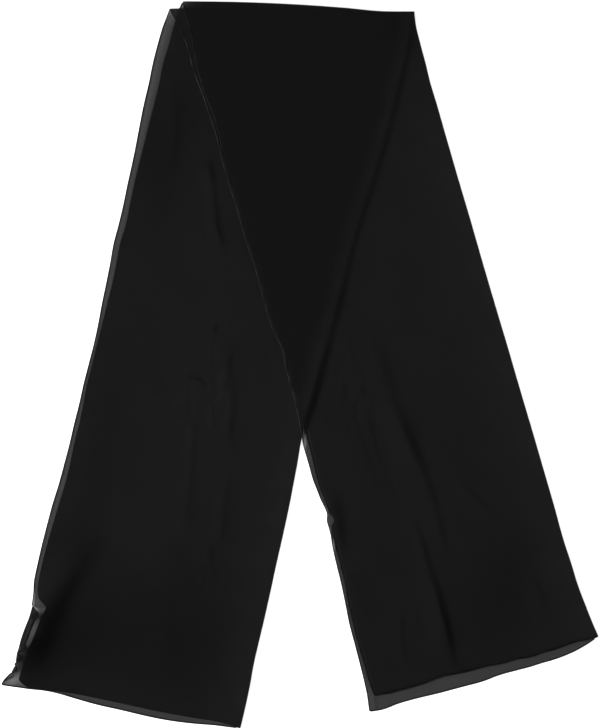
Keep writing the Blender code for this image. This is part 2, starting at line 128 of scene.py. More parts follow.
# %% [markdown]
# ## The end hems and the top folds
#
# An end hem never lies quite straight. Each table gives, for a share of the way across from the left hem to
# the long fold, how far the outer and the inner hem sag below a straight line between their corners. The
# cross folds at the top get the same treatment, as a bow upwards. The middle of the model lies a quarter of a
# millimetre from the tables' own zero, which TABLE_MIDDLE takes out.

# %% End and top tables
FRONT_END = {"outer": (95.4, -422.3), "inner": (89.0, -442.7), "fold": (380.7, -347.0)}
BACK_END = {"outer": (-358.5, -402.7), "inner": (-380.9, -408.6), "fold": (-75.8, -463.8)}
FRONT_SAG = [
    (0.0, 0.0, 0.0), (0.06, 1.6, 2.4), (0.12, 1.7, 1.4), (0.2, 1.2, 2.4), (0.3, -1.6, 5.0), (0.4, 0.4, 6.8),
    (0.5, 0.2, 8.4), (0.56, 1.9, 7.4), (0.64, 1.4, 8.6), (0.7, 3.4, 9.8), (0.76, 1.6, 10.0),
    (0.8, 1.9, 10.6), (0.86, 0.2, 10.0), (0.9, -0.9, 8.6), (0.95, 0.6, 5.2), (1.0, 0.0, 0.0),
]
BACK_SAG = [
    (0.0, 0.0, 0.0), (0.035, 6.2, -0.3), (0.08, 5.2, -0.9), (0.13, 4.4, -1.8), (0.18, 3.0, -3.0),
    (0.24, 1.8, -2.4), (0.3, 1.2, -0.2), (0.4, 1.0, 2.9), (0.5, 1.0, 4.2), (0.6, 1.0, 5.9), (0.7, 0.4, 6.4),
    (0.8, -0.8, 4.8), (0.9, -2.4, 1.8), (1.0, 0.0, 0.0),
]
TOP_BOW = [
    (0.0, 0.0, 0.0), (0.22, 2.0, 1.0), (0.38, 2.5, 2.0), (0.54, 2.1, 2.5), (0.70, 0.8, 1.6),
    (0.85, -1.4, -1.6), (1.0, 0.0, 0.0),
]
TOP_OUTER_LEFT = (-149.1, 463.5)
TOP_INNER_LEFT = (-165.7, 454.3)
TOP_RIGHT = (145.8, 450.4)
TABLE_MIDDLE = np.array([-0.24, -0.30, 0.0])
print("width of the front tail's end hem, mm:",
      round(math.dist(FRONT_END["inner"], FRONT_END["fold"]), 1))

# %% [markdown]
# ## Reading a table smoothly
#
# Straight lines between rows would give a hem with corners. A cubic curve through the rows, with its slope at
# each row taken from its neighbours, bends like cloth. It is sampled once at every half millimetre, so that
# reading it for tens of thousands of points costs nothing.

# %% Smooth curves through the tables
def smooth_column(table, column, step):
    rows = sorted(table, key=lambda row: row[0])
    keys = np.array([row[0] for row in rows], float)
    values = np.array([row[column] for row in rows], float)
    slopes = np.gradient(values, keys)
    fine = np.arange(keys[0], keys[-1] + step / 2, step)
    at = np.clip(np.searchsorted(keys, fine, side="right") - 1, 0, len(keys) - 2)
    span = keys[at + 1] - keys[at]
    t = np.clip((fine - keys[at]) / span, 0, 1)
    start = (1 + 2 * t) * (1 - t) ** 2 * values[at] + t * (1 - t) ** 2 * span * slopes[at]
    stop = t * t * (3 - 2 * t) * values[at + 1] - t * t * (1 - t) * span * slopes[at + 1]
    return fine, start + stop


def reader(table, column, step=0.5):
    fine, values = smooth_column(table, column, step)
    return lambda key: np.interp(key, fine, values)


def ease(start, end, value):
    share = np.clip((value - start) / (end - start), 0, 1)
    return share * share * (3 - 2 * share)


back_fold_x = reader(BACK_FOLD, 1)
front_inner_hem_x = reader(FRONT_HEMS, 2)
print("back fold at the middle of the sheet, mm:", round(float(back_fold_x(0.0)), 1))

# %% [markdown]
# ## How the layers are stacked
#
# Four layers lie on each other, each on the middle plane of its solid in the model. A doubled tail has a
# middle of its own, with one layer above and one below it, and its long fold is a half circle round that
# middle. The cross fold at the top is a half circle too, from the front tail down to the back tail.

# %% Stack heights
HALF_PITCH = 0.65
FOLD_OUTER = 1.15
LOW_MIDDLE = 1.15
HIGH_MIDDLE = 3.75
CROSS_AXIS_Z = (LOW_MIDDLE + HIGH_MIDDLE) / 2
CROSS_RADIUS = (HIGH_MIDDLE - LOW_MIDDLE) / 2
AXIS_LEFT = TOP_OUTER_LEFT[1] - FOLD_OUTER - CROSS_RADIUS
AXIS_RIGHT = TOP_RIGHT[1] - FOLD_OUTER - CROSS_RADIUS
INNER_AXIS_LEFT = TOP_INNER_LEFT[1] - FOLD_OUTER
print("layer planes in the overlap, mm:",
      [LOW_MIDDLE - HALF_PITCH, LOW_MIDDLE + HALF_PITCH, HIGH_MIDDLE - HALF_PITCH, HIGH_MIDDLE + HALF_PITCH])

# %% [markdown]
# ## Creases
#
# Chiffon that was folded for storage keeps soft, uneven creases. Each row places one: where it starts and
# ends, how far it bows to the side, its height, its half width, and how far its crest leans to the right, from
# 0 for even flanks to nearly 1 for a sharp one. The line from start to end marks the middle of the right
# flank, the shaded one. Only the longest are in the solid model; the fainter ones are finished here.

# %% Crease tables
FRONT_CREASES = [
    (92.0, 40.0, 164.0, -150.0, 0.0, 2.2, 27.0, 0.30),
    (112.0, -34.0, 194.0, -252.0, 7.0, 2.7, 22.0, 0.45),
    (142.0, -184.0, 197.0, -396.0, 5.0, 3.2, 17.0, 0.50),
    (166.0, -250.0, 198.0, -392.0, 3.0, 1.5, 6.0, 0.45),
    (206.0, -148.0, 250.0, -190.0, -3.0, 1.9, 11.0, 0.45),
    (212.0, -232.0, 276.0, -256.0, -7.0, 1.6, 9.0, 0.5),
    (214.0, -242.0, 260.0, -290.0, -4.0, 1.9, 8.0, -0.3),
    (228.0, -300.0, 262.0, -322.0, 3.0, 1.0, 8.0, 0.3),
    (50.0, -162.0, 57.0, -244.0, 1.0, 1.8, 17.0, 0.0),
    (64.0, 120.0, 8.0, -84.0, 1.0, 1.3, 10.0, 0.45),
    (60.0, 30.0, 82.0, -60.0, 4.0, 0.9, 9.0, 0.3),
    (92.0, -40.0, 104.0, -130.0, -5.0, 0.9, 9.0, 0.3),
    (74.0, -96.0, 96.0, -168.0, 4.0, 0.8, 8.0, -0.3),
    (60.0, -255.0, 92.0, -330.0, 4.0, 1.0, 12.0, -0.3),
    (128.0, -300.0, 142.0, -400.0, -3.0, 1.1, 11.0, 0.2),
    (290.0, -260.0, 318.0, -330.0, 4.0, 1.0, 14.0, 0.3),
    (196.0, 110.0, 214.0, 30.0, 3.0, 0.6, 18.0, 0.0),
]
BACK_CREASES = [
    (-113.0, 278.0, -94.0, 136.0, -5.0, 2.6, 12.0, 0.55),
    (-254.0, -226.0, -354.0, -386.0, -4.0, 3.4, 26.0, 0.10),
    (-152.0, 345.0, -167.0, 225.0, 2.0, 1.5, 10.0, 0.4),
    (-167.0, 230.0, -176.0, 170.0, -2.0, 0.9, 9.0, 0.2),
    (-110.0, 58.0, -113.0, 20.0, 1.0, 1.4, 7.0, 0.4),
    (-155.0, -10.0, -116.0, -34.0, 4.0, 1.4, 6.0, 0.3),
    (-152.0, -28.0, -120.0, -44.0, 3.0, 1.2, 5.0, -0.3),
    (-96.0, 36.0, -88.0, -110.0, 6.0, 1.6, 12.0, 0.4),
    (-126.0, -60.0, -138.0, -220.0, -6.0, 1.5, 13.0, 0.4),
    (-92.0, -130.0, -104.0, -240.0, 4.0, 1.4, 12.0, 0.3),
    (-196.0, 60.0, -182.0, -60.0, 7.0, 0.9, 16.0, 0.2),
    (-222.0, -90.0, -214.0, -190.0, -4.0, 1.0, 14.0, 0.3),
    (-178.0, -226.0, -148.0, -262.0, 4.0, 1.2, 8.0, 0.4),
    (-126.0, -214.0, -110.0, -262.0, 3.0, 1.3, 8.0, 0.4),
    (-180.0, -300.0, -160.0, -400.0, 5.0, 1.0, 16.0, 0.3),
    (-310.0, -330.0, -348.0, -398.0, 3.0, 1.4, 9.0, 0.4),
]
print("creases by hand:", len(FRONT_CREASES), "front,", len(BACK_CREASES), "back")

# %% [markdown]
# ## The height of the cloth at any place
#
# Each crease is a rounded ridge that fades out at both ends. Between the creases the cloth ripples by a few
# tenths of a millimetre, from a handful of slow waves that cross each other. A much finer pucker lies over
# them, strongest in the patches of the two tables here. A patch row gives the middle in x and y, half the
# length, half the width, the turn in degrees, and the amount. Both layers of the front tail take the same
# relief, so that they never cut through each other. On the back tail only the upper layer does, and the lower
# one lies flat on the table.

# %% Height functions
RIPPLED_FRONT = [(65.0, -40.0, 120.0, 48.0, -75.0, 1.0), (150.0, -330.0, 80.0, 60.0, -75.0, 0.35)]
RIPPLED_BACK = [(-110.0, -20.0, 110.0, 60.0, 80.0, 1.0), (-130.0, -270.0, 60.0, 60.0, 0.0, 0.9)]
PATCH_FALL = 1.4
CALM_LEVEL = 430.0
TAILS_PART_LEVEL = -95
WELL_CLEAR = 60.0


def crease_height(creases, x, y):
    total = np.zeros_like(x)
    for x0, y0, x1, y1, bow, height, half_width, lean in creases:
        run = math.hypot(x1 - x0, y1 - y0)
        ax, ay = (x1 - x0) / run, (y1 - y0) / run
        along = ((x - x0) * ax + (y - y0) * ay) / run
        across = (y - y0) * ax - (x - x0) * ay - bow * 4 * along * (1 - along)
        wander = 1.1 * np.sin(along * 11.0 + x0) + 0.6 * np.sin(along * 27.0 + y0)
        across = (across + wander) / half_width + (1 + lean) / 2
        flanks = np.minimum(ease(-1.0, lean, across), 1 - ease(lean, 1.0, across))
        ends = ease(0.0, 0.22, along) * ease(0.0, 0.22, 1 - along)
        uneven = 0.86 + 0.14 * np.sin(along * 9.0 + x1)
        total += height * uneven * ends * flanks
    return total


def patches(table, x, y):
    total = np.zeros_like(x)
    for px, py, half_length, half_width, turn, amount in table:
        cos, sin = math.cos(math.radians(turn)), math.sin(math.radians(turn))
        along = ((x - px) * cos + (y - py) * sin) / half_length
        across = ((y - py) * cos - (x - px) * sin) / half_width
        total += amount * np.exp(-PATCH_FALL * (along ** 2 + across ** 2))
    return total


def fine_ripple(table, x, y):
    bent_x = x + 5.0 * np.sin(y / 17.0) + 3.0 * np.sin(y / 7.9 + x / 23.0)
    bent_y = y + 6.0 * np.sin(x / 19.0 + 1.0)
    waves = (np.sin(bent_x / 2.6 + bent_y / 11.0) + 0.8 * np.sin(bent_x / 3.7 - bent_y / 6.1 + 2.0)
             + 0.6 * np.sin(bent_y / 3.4 + bent_x / 9.0))
    return 0.20 * waves * (0.12 + patches(table, x, y))


def ripple(x, y, seed):
    waves = 0
    for index in range(7):
        angle = seed + 2.4 * index
        length = 34.0 + 17.0 * index
        phase = 1.7 * index * seed
        waves = waves + 0.1 * np.sin(2 * math.pi * (x * math.cos(angle) + y * math.sin(angle)) / length + phase)
    return waves


def relief(creases, rippled, seed, x, y):
    swell = np.clip(0.28 + ripple(x, y, seed) * 0.4, 0, 1)
    return crease_height(creases, x, y) + swell + fine_ripple(rippled, x, y)


def front_middle(x, y):
    raised = 1 - ease(-1.5, 7.0, x - back_fold_x(y))
    free = ease(0.0, 50.0, CALM_LEVEL - y)
    return (LOW_MIDDLE + (HIGH_MIDDLE - LOW_MIDDLE) * raised
            + free * relief(FRONT_CREASES, RIPPLED_FRONT, 1.3, x, y))


def back_relief(x, y):
    uncovered = np.where(y < TAILS_PART_LEVEL, WELL_CLEAR, front_inner_hem_x(y) - x)
    return (relief(BACK_CREASES, RIPPLED_BACK, 0.7, x, y)
            * ease(1.0, 12.0, uncovered) * ease(1.0, 14.0, back_fold_x(y) - x))


on_a_crease = crease_height(FRONT_CREASES, np.array([150.0]), np.array([-110.0]))
print("relief on a front crease, mm:", round(float(on_a_crease[0]), 2))

# %% [markdown]
# ## Painted shade, painted highlight and tone
#
# Sheer cloth is never one even black. The threads are made lighter or darker as a share of their own tone.
# Two tables of patch rows paint shade on the shaded flanks of creases and in dark bands, painted highlight
# beside them, and broad lighter and darker areas. Near the long folds the cloth is given a painted highlight,
# where the lofted fold faces the light, and where four layers lie together the front tail gets painted shade.

# %% Patches of tone, painted shade and painted highlight
# Patch rows: painted shade on crease flanks and dark bands, painted highlight beside creases, and broad lighter
# and darker areas.
FRONT_SHADE_AND_TONE_PATCHES = [
    (150.0, 60.0, 130.0, 60.0, 75.0, 0.03),
    (250.0, -300.0, 110.0, 60.0, 60.0, -0.20),
    (110.0, -270.0, 90.0, 40.0, 80.0, -0.08),
    (50.0, -202.0, 32.0, 9.0, -80.0, -0.40),
    (16.0, -52.0, 44.0, 6.0, 70.0, -0.40),
    (46.0, 68.0, 60.0, 5.0, 72.0, -0.12),
    (134.0, -92.0, 110.0, 9.0, -68.0, 0.16),
    (150.0, -230.0, 60.0, 8.0, -72.0, 0.12),
    (190.0, -340.0, 60.0, 5.0, -75.0, -0.30),
    (126.0, 432.0, 30.0, 20.0, -70.0, -0.14),
]
# Painted shade over the lower left of the back tail, where its cloth slopes away from the light, and broad lighter
# and darker areas.
BACK_SHADE_AND_TONE_PATCHES = [
    (-165.0, 290.0, 130.0, 45.0, 75.0, -0.28),
    (-120.0, -60.0, 150.0, 60.0, 80.0, 0.10),
    (-160.0, -350.0, 120.0, 110.0, 0.0, -0.34),
    (-300.0, -300.0, 78.0, 15.0, 59.0, -0.35),
    (-335.0, -362.0, 60.0, 30.0, 62.0, -0.55),
    (-250.0, -100.0, 170.0, 34.0, 76.0, -0.18),
    (-290.0, -230.0, 60.0, 40.0, 60.0, -0.15),
    (-296.0, -345.0, 90.0, 60.0, 60.0, -0.38),
]
print("patches by hand:", len(FRONT_SHADE_AND_TONE_PATCHES) + len(BACK_SHADE_AND_TONE_PATCHES))

# %% [markdown]
# ## The plan of a tail
#
# A tail is described by sections across it. A section starts at the outer hem on the left and ends at the
# long fold on the right, which lies a little lower because the tail leans. Everything on the sheet is then a
# level and a share of the way across.

# %% Plan of a tail
class TailPlan:
    def __init__(self, hems, fold, ends, sag):
        self.outer_hem = reader(hems, 1)
        self.inner_hem = reader(hems, 2)
        self.fold_x = reader(fold, 1)
        self.ends = ends
        self.bottom = ends["outer"][1]
        self.bow = [reader(TOP_BOW, 1, 0.005), reader(TOP_BOW, 2, 0.005)]
        self.sag = [reader(sag, 1, 0.005), reader(sag, 2, 0.005)]

    def fold_point(self, level):
        down = (AXIS_LEFT - level) / (AXIS_LEFT - self.bottom)
        y = AXIS_RIGHT + (self.ends["fold"][1] - AXIS_RIGHT) * down
        return self.fold_x(y) - FOLD_OUTER, y

    def point(self, level, share):
        down = (AXIS_LEFT - level) / (AXIS_LEFT - self.bottom)
        fold_x, fold_y = self.fold_point(level)
        hem_x = self.outer_hem(level)
        x = hem_x + (fold_x - hem_x) * share
        y = level + (fold_y - level) * share
        y = y + self.bow[0](share) * np.clip(1 - down * 4, 0, 1) ** 2
        y = y - self.sag[0](share) * np.clip(down * 9 - 8, 0, 1) ** 2
        return x, y

    def inner_end(self, share):
        x0, y0 = self.ends["inner"]
        x1, y1 = self.ends["fold"][0] - FOLD_OUTER, self.ends["fold"][1]
        return x0 + (x1 - x0) * share, y0 + (y1 - y0) * share - self.sag[1](share)


front_plan = TailPlan(FRONT_HEMS, FRONT_FOLD, FRONT_END, FRONT_SAG)
back_plan = TailPlan(BACK_HEMS, BACK_FOLD, BACK_END, BACK_SAG)
print("front tail's width at the middle, mm:",
      round(float(front_plan.fold_point(0.0)[0] - front_plan.outer_hem(0.0)), 1))

# %% [markdown]
# ## From a flat grid to a folded sheet
#
# `bmesh.ops.create_grid` gives a flat sheet of square cells. Its columns run across the tail and its rows
# along it, and each point is then carried to its place on the folded scarf. The places are worked out for
# the whole grid at once.

# %% Grid sizes
BODY_COLUMNS = 84
BODY_ROWS = 250
MARGIN_COLUMNS = 8
END_ROWS = 7
BEND_STEPS = 5
CROSS_STEPS = 10
TOP_ROWS = 9


def body_levels(plan, highest):
    steps = np.linspace(0, 1, BODY_ROWS + 1)
    return plan.bottom + (highest - plan.bottom) * steps


def print_grids(grids):
    for name, places in grids.items():
        low, high = places[..., 2].min(), places[..., 2].max()
        print(name, "grid", places.shape[:2], "height", low.round(2), "to", high.round(2))


print("cells in an outer layer:", BODY_COLUMNS * BODY_ROWS)

# %% [markdown]
# The outer half of the panel makes the top layer of the front tail, goes over the cross fold, and becomes
# the bottom layer of the back tail. The long fold is the last few columns of the sheet, bent round a half
# circle.

# %% Outer layers
def bend_on(x, y, middle):
    turns = np.pi * np.arange(1, BEND_STEPS + 1) / BEND_STEPS
    return (x + HALF_PITCH * np.sin(turns)[None, :], y + 0 * turns[None, :],
            middle + HALF_PITCH * np.cos(turns)[None, :])


def over_the_top(x, y, height):
    turns = np.pi * np.arange(1, CROSS_STEPS + 1)[:, None] / CROSS_STEPS
    radius = CROSS_RADIUS + height[None, :]
    return (x[None, :] + 0 * turns, y[None, :] + radius * np.sin(turns), CROSS_AXIS_Z + radius * np.cos(turns))


def front_outer_places():
    level = body_levels(front_plan, AXIS_LEFT)[:, None]
    share = np.linspace(0, 1, BODY_COLUMNS + 1)[None, :]
    x, y = front_plan.point(level, share)
    z = front_middle(x, y) + HALF_PITCH
    fold_x, fold_y = front_plan.fold_point(level)
    bend = bend_on(fold_x, fold_y, front_middle(fold_x, fold_y))
    flat = [np.hstack([a, b]) for a, b in zip((x, y, z), bend)]
    section = np.concatenate([np.full(BODY_COLUMNS + 1, HALF_PITCH),
                              HALF_PITCH * np.cos(np.pi * np.arange(1, BEND_STEPS + 1) / BEND_STEPS)])
    over = over_the_top(flat[0][-1], np.concatenate([y[-1], np.full(BEND_STEPS, y[-1, -1])]), section)
    return np.stack([np.vstack([a, b]) for a, b in zip(flat, over)], axis=-1)


def back_outer_places():
    level = body_levels(back_plan, AXIS_LEFT)[:, None]
    share = np.linspace(0, 1, BODY_COLUMNS + 1)[None, :]
    x, y = back_plan.point(level, share)
    return np.stack([x, y, 0 * x + LOW_MIDDLE - HALF_PITCH], axis=-1)


outer_places = {"front_upper": front_outer_places(), "back_lower": back_outer_places()}
print_grids(outer_places)

# %% [markdown]
# The inner half lies between them. It follows the same sections as its neighbour, so that the two layers
# ripple together, and adds a margin at the left hem and at the end hem, where it sticks out. On the back
# tail the margin drops off the layer below and lies on the table. Near the lower left corner its outer part
# is turned back over itself as a flat strip, and each row of the table gives a level and the strip's width
# there. The outline stays where the edge tables have it.

# %% Inner layers
TURNED_OVER = [
    (-306.0, 0.0), (-311.0, 1.5), (-317.0, 9.5), (-324.0, 9.0), (-335.0, 8.0), (-348.0, 8.0), (-358.0, 7.0),
    (-363.0, 9.0), (-366.5, 4.0), (-369.0, 0.6), (-373.0, 5.5), (-376.5, 7.0), (-379.5, 1.0), (-384.0, 0.4),
    (-389.0, 5.0), (-392.5, 2.0), (-396.0, 0.0),
]
LEAST_TURN = 0.12
TURN_STARTS = 0.05
STRIP_LIFT = 0.75
FULL_LIFT_WIDTH = 3.0
turned_width = reader(TURNED_OVER, 1)


def turn_margin(x, z, level):
    width = np.maximum(turned_width(level), 0)[:, None]
    half, columns = MARGIN_COLUMNS // 2, slice(0, MARGIN_COLUMNS)
    outline, hem = x[:, :1].copy(), x[:, MARGIN_COLUMNS:MARGIN_COLUMNS + 1]
    back = np.linspace(1, 0, half + 1)[None, :]
    on_top = outline + np.maximum(width, LEAST_TURN) * back
    under = outline + (hem - outline) * np.linspace(0, 1, half + 1)[None, 1:half]
    lift = np.hstack([STRIP_LIFT * ease(0.0, 0.35, back), np.zeros((1, half - 1))])
    turned = width > TURN_STARTS
    x[:, columns] = np.where(turned, np.hstack([on_top, under]), x[:, columns])
    z[:, columns] += np.where(turned, lift * ease(0.0, FULL_LIFT_WIDTH, width), 0)


def inner_places(plan, middle_at, side, dropping):
    margin_share = np.linspace(0, 1, MARGIN_COLUMNS + 1)[:-1]
    body_share = np.linspace(0, 1, BODY_COLUMNS + 1)
    level = body_levels(plan, CALM_LEVEL)[:, None]
    hem, inner = plan.outer_hem(level), plan.inner_hem(level)
    x_body, y_body = plan.point(level, body_share[None, :])
    x_margin = inner + (hem - inner) * margin_share[None, :]
    x, y = np.hstack([x_margin, x_body]), np.hstack([level + 0 * x_margin, y_body])

    across = (x[-1] - x[-1, 0]) / (x[-1, -1] - x[-1, 0])
    fold_x = plan.fold_point(AXIS_LEFT)[0]
    top_x = TOP_INNER_LEFT[0] + (fold_x - TOP_INNER_LEFT[0]) * across
    top_y = INNER_AXIS_LEFT + (AXIS_RIGHT - INNER_AXIS_LEFT) * across + plan.bow[1](across)
    up = np.linspace(0, 1, TOP_ROWS + 1)[1:, None]
    x = np.vstack([x, x[-1] + (top_x - x[-1]) * up])
    y = np.vstack([y, y[-1] + (top_y - y[-1]) * up])

    below = (x[0] - x[0, 0]) / (x[0, -1] - x[0, 0])
    end_x, end_y = plan.inner_end(below)
    down = np.linspace(0, 1, END_ROWS + 1)[:-1, None]
    x = np.vstack([end_x + (x[0] - end_x) * down, x])
    y = np.vstack([end_y + (y[0] - end_y) * down, y])
    z = middle_at(x, y) + side

    if dropping:
        reach = np.concatenate([np.full(END_ROWS, 1.0), ease(1.5, 5.0, (hem - inner)[:, 0]), np.ones(TOP_ROWS)])
        outward = np.concatenate([1 - margin_share, np.zeros(BODY_COLUMNS + 1)])
        side_drop = ease(0.0, 0.72, outward)[None, :] * reach[:, None]
        width = np.hypot(end_x - x[END_ROWS], end_y - y[END_ROWS])
        end_drop = np.zeros_like(z)
        end_drop[:END_ROWS] = ease(0.0, 0.72, 1 - down) * ease(3.0, 6.0, width)[None, :]
        fade = np.ones(len(z))
        fade[-TOP_ROWS:] = np.linspace(1, 0, TOP_ROWS)
        z = z - 2 * HALF_PITCH * np.maximum(side_drop * fade[:, None], end_drop)
    return x, y, z


def front_inner_places():
    x, y, z = inner_places(front_plan, front_middle, -HALF_PITCH, False)
    over = over_the_top(x[-1], y[-1], np.full(x.shape[1], -HALF_PITCH))
    return np.stack([np.vstack([a, b]) for a, b in zip((x, y, z), over)], axis=-1)


def back_inner_places():
    x, y, z = inner_places(back_plan, lambda x, y: LOW_MIDDLE + back_relief(x, y), HALF_PITCH, True)
    turn_margin(x, z, y[:, 0])
    bend = bend_on(x[:, -1:], y[:, -1:], np.full((len(x), 1), LOW_MIDDLE))
    return np.stack([np.hstack([a, b]) for a, b in zip((x, y, z), bend)], axis=-1)


inner_grids = {"front_lower": front_inner_places(), "back_upper": back_inner_places()}
print_grids(inner_grids)

# %% [markdown]
# ## Making the sheets
#
# Each grid becomes a mesh with a UV map in metres of flat cloth, so that the weave can follow the threads
# through every fold. A Solidify modifier gives it the thickness of the cloth, a quarter of a millimetre.
# Three values are kept at every point for the material: how much lighter the threads are, which holds painted
# shade and painted highlight as well as tone; how much more of each spot they cover, which holds painted shade
# on the margins; and how strong the fine wrinkles are.

# %% Sheet maker
CLOTH_THICKNESS = 0.26


def make_sheet(name, places, across, along, values):
    rows, columns = places.shape[0] - 1, places.shape[1] - 1
    sheet = bmesh.new()
    bmesh.ops.create_grid(sheet, x_segments=columns, y_segments=rows, size=0.5)
    uv = sheet.loops.layers.uv.new("cloth")
    for face in sheet.faces:
        face.smooth = True
        for loop in face.loops:
            flat = loop.vert.co
            loop[uv].uv = (across[0] + (across[1] - across[0]) * (flat.x + 0.5),
                           along[0] + (along[1] - along[0]) * (flat.y + 0.5))
    for vert in sheet.verts:
        i = round((vert.co.y + 0.5) * rows)
        j = round((vert.co.x + 0.5) * columns)
        vert.co = Vector((places[i, j] - TABLE_MIDDLE) * MM)
    mesh = bpy.data.meshes.new(name)
    sheet.to_mesh(mesh)
    sheet.free()
    for word, value in values.items():
        store = mesh.attributes.new(word, "FLOAT", "POINT")
        store.data.foreach_set("value", value.astype(np.float32).ravel())
    piece = bpy.data.objects.new(name, mesh)
    bpy.context.scene.collection.objects.link(piece)
    wall = piece.modifiers.new("cloth thickness", "SOLIDIFY")
    wall.thickness = CLOTH_THICKNESS * MM
    wall.offset = 0.0
    wall.use_rim = True
    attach(piece, "root")
    return piece


print("thickness of the cloth, mm:", CLOTH_THICKNESS)

# %% [markdown]
# The margins are given painted shade: their cover grows from the outline towards the doubled cloth, so that they
# darken where they meet it, and the whole margin is a little thinner. Where cloth is bunched or turned over it
# covers more, and a table of patch rows places that. The turned strip near the lower left corner is denser as a
# whole, and its under side is thinner, so that it doesn't go quite black.

# %% Tone, painted light and cover of a stretch
# Painted highlight near the long folds, where the lofted cloth faces the light.
LOFT_PAINTED_HIGHLIGHT = 0.40
LOFT_REACH = 40.0
# Painted shade on the front tail's upper layer where four layers lie together.
FOUR_LAYER_PAINTED_SHADE = -0.31
HEM_COVER = -0.11
# Painted shade on the margins: more cover towards the doubled cloth.
MARGIN_PAINTED_SHADE = 0.14
STRIP_COVER = 0.16
UNDER_STRIP_COVER = -0.24
STRIP_RIGHT = -320
STRIP_LEVELS = (-362, -311)
BUNCHED = [
    (-336.0, -322.0, 11.0, 4.0, -8.0, 0.30),
    (-346.0, -365.0, 5.0, 5.0, 0.0, 0.30),
    (-352.0, -377.0, 12.0, 9.0, 60.0, 0.16),
    (-334.0, -362.0, 5.0, 5.0, 50.0, 0.25),
    (-366.0, -396.0, 13.0, 2.0, 40.0, 0.16),
    (-372.0, -401.0, 12.0, 1.8, 20.0, 0.14),
    (-364.0, -402.0, 16.0, 12.0, 30.0, -0.16),
    (-335.0, -340.0, 15.0, 6.0, 62.0, -0.10),
    (-152.0, 462.0, 26.0, 7.0, -3.0, -0.16),
    (-158.0, 450.0, 16.0, 6.0, 60.0, -0.06),
]


# Painted shade and highlight from the patch rows, plus a painted highlight near the long fold.
def tone_and_painted_light_of(places, plan, table):
    x, y = places[..., 0], places[..., 1]
    from_fold = plan.fold_x(y) - x
    # Painted highlight near the long fold, fading towards the top of the tail.
    painted_loft_highlight = LOFT_PAINTED_HIGHLIGHT * np.exp(-(from_fold / LOFT_REACH) ** 2) * ease(0.0, 150.0, 400 - y)
    return patches(table, x, y) + painted_loft_highlight


# Painted shade over the back tail, fading out towards the back tail's long fold.
def four_layer_painted_shade(places):
    return FOUR_LAYER_PAINTED_SHADE * (1 - ease(-24.0, -5.0, places[..., 0] - back_fold_x(places[..., 1])))


def cover_and_painted_shade(places, margin_columns):
    x, y = places[..., 0], places[..., 1]
    change = np.zeros(places.shape[:2])
    inward = np.arange(margin_columns + 1) / max(margin_columns, 1)
    margin = slice(0, margin_columns + 1)
    under_strip = slice(margin_columns // 2 + 1, margin_columns + 1)
    strip = (x < STRIP_RIGHT) & (y > STRIP_LEVELS[0]) & (y < STRIP_LEVELS[1])
    # Painted shade on the margin: its cover grows towards the doubled cloth, and the whole margin is a little
    # thinner.
    change[:, margin] = MARGIN_PAINTED_SHADE * inward ** 0.7 + HEM_COVER + STRIP_COVER * strip[:, margin]
    change[:, under_strip] += UNDER_STRIP_COVER * strip[:, under_strip]
    return change + patches(BUNCHED, x, y)


print("bunched and thinned patches by hand:", len(BUNCHED))

# %% [markdown]
# The flat cloth is the panel before folding, so each stretch gets a quarter of it. Its columns run from the
# hem to the long fold in the middle of the panel's width, and its rows from one end of the panel to the cross
# fold in the middle of its length.

# %% The four stretches of the panel
PANEL_WIDTH, PANEL_LENGTH = 0.60, 1.80
LEAST_WRINKLES = 0.15


def make_stretch(name, places, hem_side, end, margin_columns, plan, shade_and_tone_patches, rippled, painted_four_layer_shade=0.0):
    values = {
        # Painted shade and highlight from the patch rows, the long fold and the four-layer overlap, with broad
        # tone.
        "tone_and_painted_light": tone_and_painted_light_of(places, plan, shade_and_tone_patches) + painted_four_layer_shade,
        "cover_and_painted_shade": cover_and_painted_shade(places, margin_columns),
        "ripples": LEAST_WRINKLES + patches(rippled, places[..., 0], places[..., 1]),
    }
    return make_sheet(name, places, (hem_side, PANEL_WIDTH / 2), (end, PANEL_LENGTH / 2), values)


# The front tail's upper layer also gets the painted shade where four layers lie.
front_upper = make_stretch("front_upper_sheet", outer_places["front_upper"], 0.0, 0.0, 0,
                           front_plan, FRONT_SHADE_AND_TONE_PATCHES, RIPPLED_FRONT, four_layer_painted_shade(outer_places["front_upper"]))
front_lower = make_stretch("front_lower_sheet", inner_grids["front_lower"], PANEL_WIDTH, 0.0, MARGIN_COLUMNS,
                           front_plan, FRONT_SHADE_AND_TONE_PATCHES, RIPPLED_FRONT)
back_upper = make_stretch("back_upper_sheet", inner_grids["back_upper"], PANEL_WIDTH, PANEL_LENGTH, MARGIN_COLUMNS,
                          back_plan, BACK_SHADE_AND_TONE_PATCHES, RIPPLED_BACK)
back_lower = make_stretch("back_lower_sheet", outer_places["back_lower"], 0.0, PANEL_LENGTH, 0,
                          back_plan, BACK_SHADE_AND_TONE_PATCHES, RIPPLED_BACK)
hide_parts("front_tail_upper_layer")
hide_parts("front_tail_lower_layer")
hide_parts("back_tail_upper_layer")
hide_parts("back_tail_lower_layer")
sheets = [front_upper, front_lower, back_upper, back_lower]
print("faces:", {piece.name: len(piece.data.polygons) for piece in sheets})

# %% [markdown]
# ## The rolled hem
#
# A chiffon edge is rolled between the fingers and whipped with fine stitches, so it is a soft cord less than
# two millimetres wide. A tube along the sheet's own edge gives it, a little flattened, and nipped in slightly
# at each stitch. The tube is a grid too: one way runs along the edge, the other goes round it. Its threads are
# lighter or darker than the cloth, by an amount for each hem and by a table of patch rows: a painted highlight
# where a hem catches the light from the left, broken into pieces along it, and darker elsewhere.

